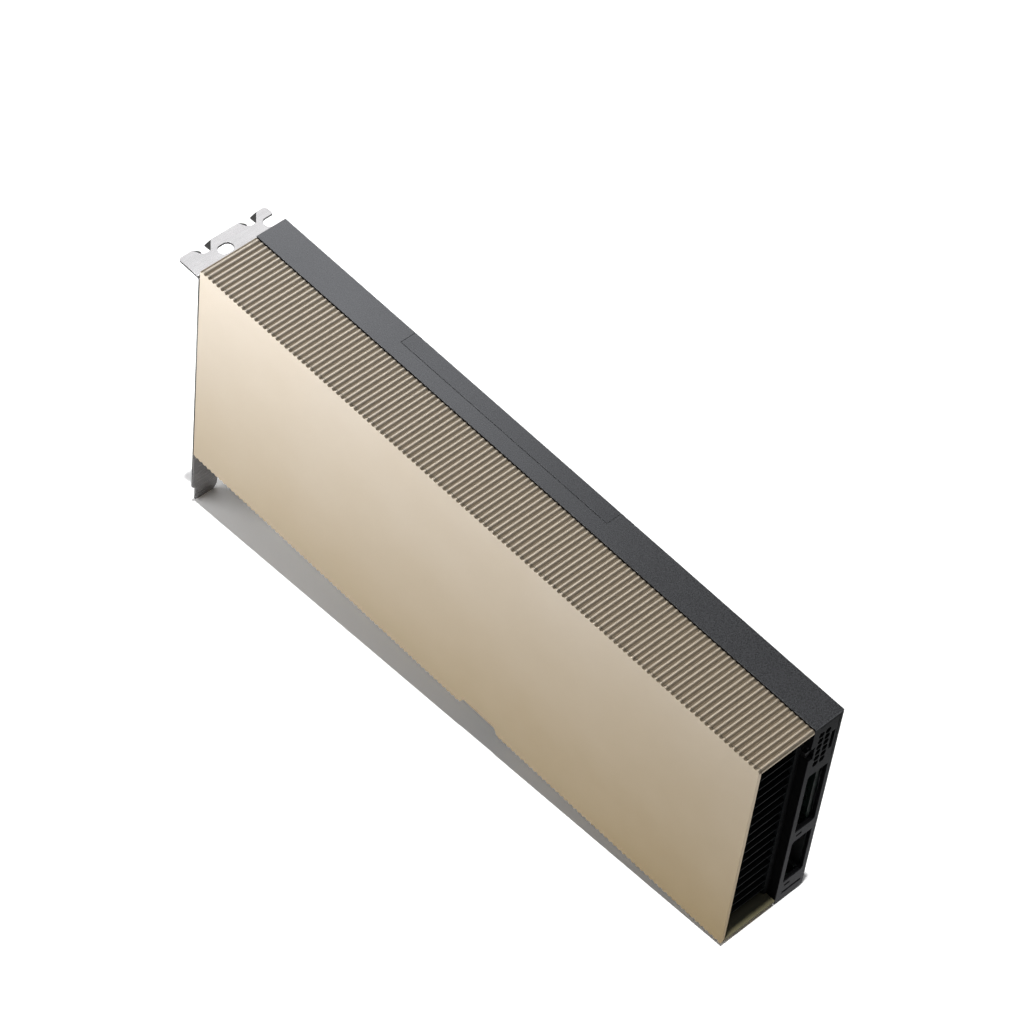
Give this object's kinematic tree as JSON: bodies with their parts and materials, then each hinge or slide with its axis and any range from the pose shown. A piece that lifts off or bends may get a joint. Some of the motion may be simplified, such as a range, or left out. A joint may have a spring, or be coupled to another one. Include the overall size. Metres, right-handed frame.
{
  "type": "passive accelerator card",
  "caption": "Double-slot full-height server accelerator card with a passive ribbed cooler, rear air intake, slotted end bracket and card-edge connector.",
  "frame": {"origin": "centre of the underside of the bracket's top fold, on the line of its screw slots", "axes": "+X from the bracket along the card to its rear end, -Y out of the cooler's flat front face, +Z from the card-edge connector up to the top edge"},
  "size_m": [0.2782, 0.039, 0.1242],
  "materials": {
    "champagne_aluminium": "satin bead-blasted and anodised, pale gold",
    "dark_casting": "fine-textured dark grey powder coat",
    "dark_cover": "fine-textured dark grey powder coat",
    "bright_steel": "bright nickel-plated sheet steel",
    "fin_aluminium": "plain rolled aluminium",
    "base_aluminium": "machined aluminium",
    "black_plastic": "moulded, matt",
    "board_laminate": "dark solder mask on glass laminate",
    "gold_contact": "hard gold plating",
    "package_laminate": "green package laminate",
    "ring_steel": "nickel-plated ring",
    "silicon": "polished silicon",
    "black_epoxy": "moulded epoxy",
    "ferrite": "pressed powder core",
    "capacitor_can": "bare drawn can",
    "pad_silicone": "soft heat-conducting silicone",
    "pin_metal": "tinned brass",
    "screw_steel": "black zinc-plated steel"
  },
  "bodies": {
    "root": {"cooler_shroud": "champagne_aluminium", "mid_frame": "dark_casting", "rear_latch": "black_plastic", "bridge_port_cover": "dark_cover", "io_bracket": "bright_steel", "fin_stack": "fin_aluminium", "heatsink_base": "base_aluminium", "circuit_board": "board_laminate", "edge_contacts": "gold_contact", "bridge_contacts": "gold_contact", "processor_substrate": "package_laminate", "processor_stiffener": "ring_steel", "processor_die": "silicon", "memory_stacks": "black_epoxy", "inductors": "ferrite", "power_stages": "black_epoxy", "thermal_pads": "pad_silicone", "capacitors": "capacitor_can", "controller_chips": "black_epoxy", "power_connector": "black_plastic", "power_pins": "pin_metal", "backplate": "dark_casting", "retention_plate": "ring_steel", "backplate_screws": "screw_steel", "heatsink_screws": "screw_steel", "bracket_screws": "screw_steel"}
  },
  "joints": []
}
